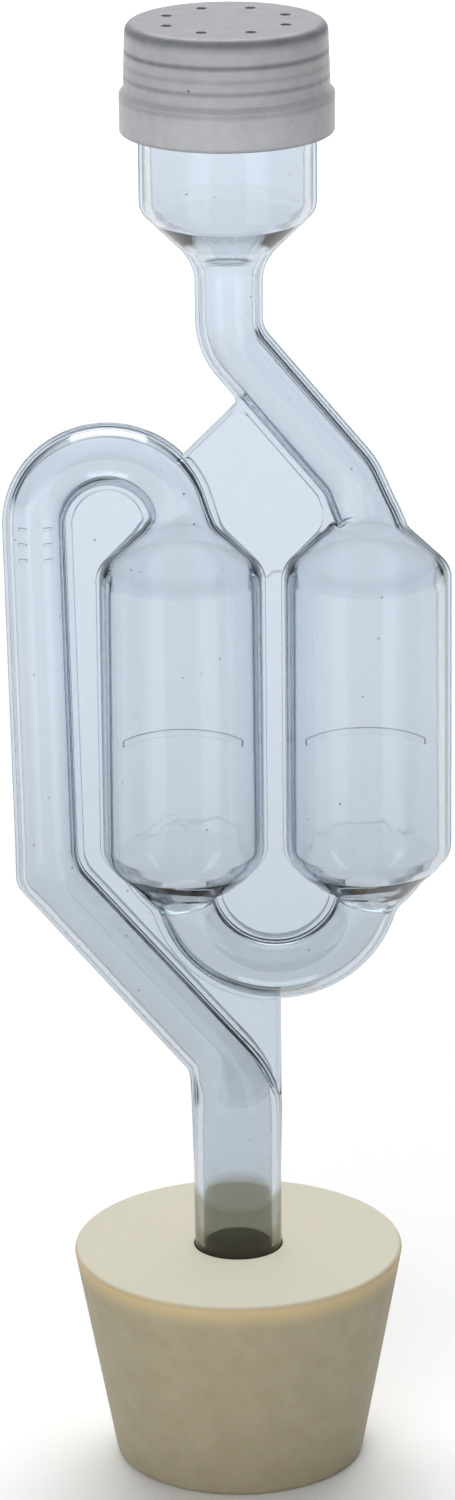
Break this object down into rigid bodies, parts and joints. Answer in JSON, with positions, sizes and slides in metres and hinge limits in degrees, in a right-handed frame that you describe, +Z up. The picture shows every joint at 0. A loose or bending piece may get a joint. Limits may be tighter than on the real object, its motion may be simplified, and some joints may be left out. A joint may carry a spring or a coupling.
{
  "type": "fermentation airlock with drilled bung",
  "caption": "Clear twin-bubble water-seal airlock, welded from moulded halves, with a vented dust cap, standing in a tapered drilled rubber bung for a fermenting vessel.",
  "frame": {"origin": "centre of the bung's base, on the surface that it stands on", "axes": "+Z up along the bung and stem, +X to the right seen from the front, +Y away from the viewer, square to the weld plane of the two airlock halves"},
  "size_m": [0.0487, 0.037, 0.1646],
  "materials": {
    "gum_rubber": "moulded cream gum rubber, matt with a faint bloom",
    "clear_polystyrene": "injection moulded, clear and glossy",
    "frosted_polyethylene": "injection moulded, milky grey and translucent"
  },
  "bodies": {
    "bung": {"bung": "gum_rubber"},
    "airlock": {"front_shell": "clear_polystyrene", "rear_shell": "clear_polystyrene"},
    "cap": {"dust_cap": "frosted_polyethylene"}
  },
  "joints": [
    {"name": "stem_pull", "type": "slide", "parent": "bung", "child": "airlock", "axis": [0, 0, 1], "range_m": [-0.004, 0.024]},
    {"name": "cap_lift", "type": "slide", "parent": "airlock", "child": "cap", "axis": [0, 0, 1], "range_m": [0, 0.012]}
  ]
}
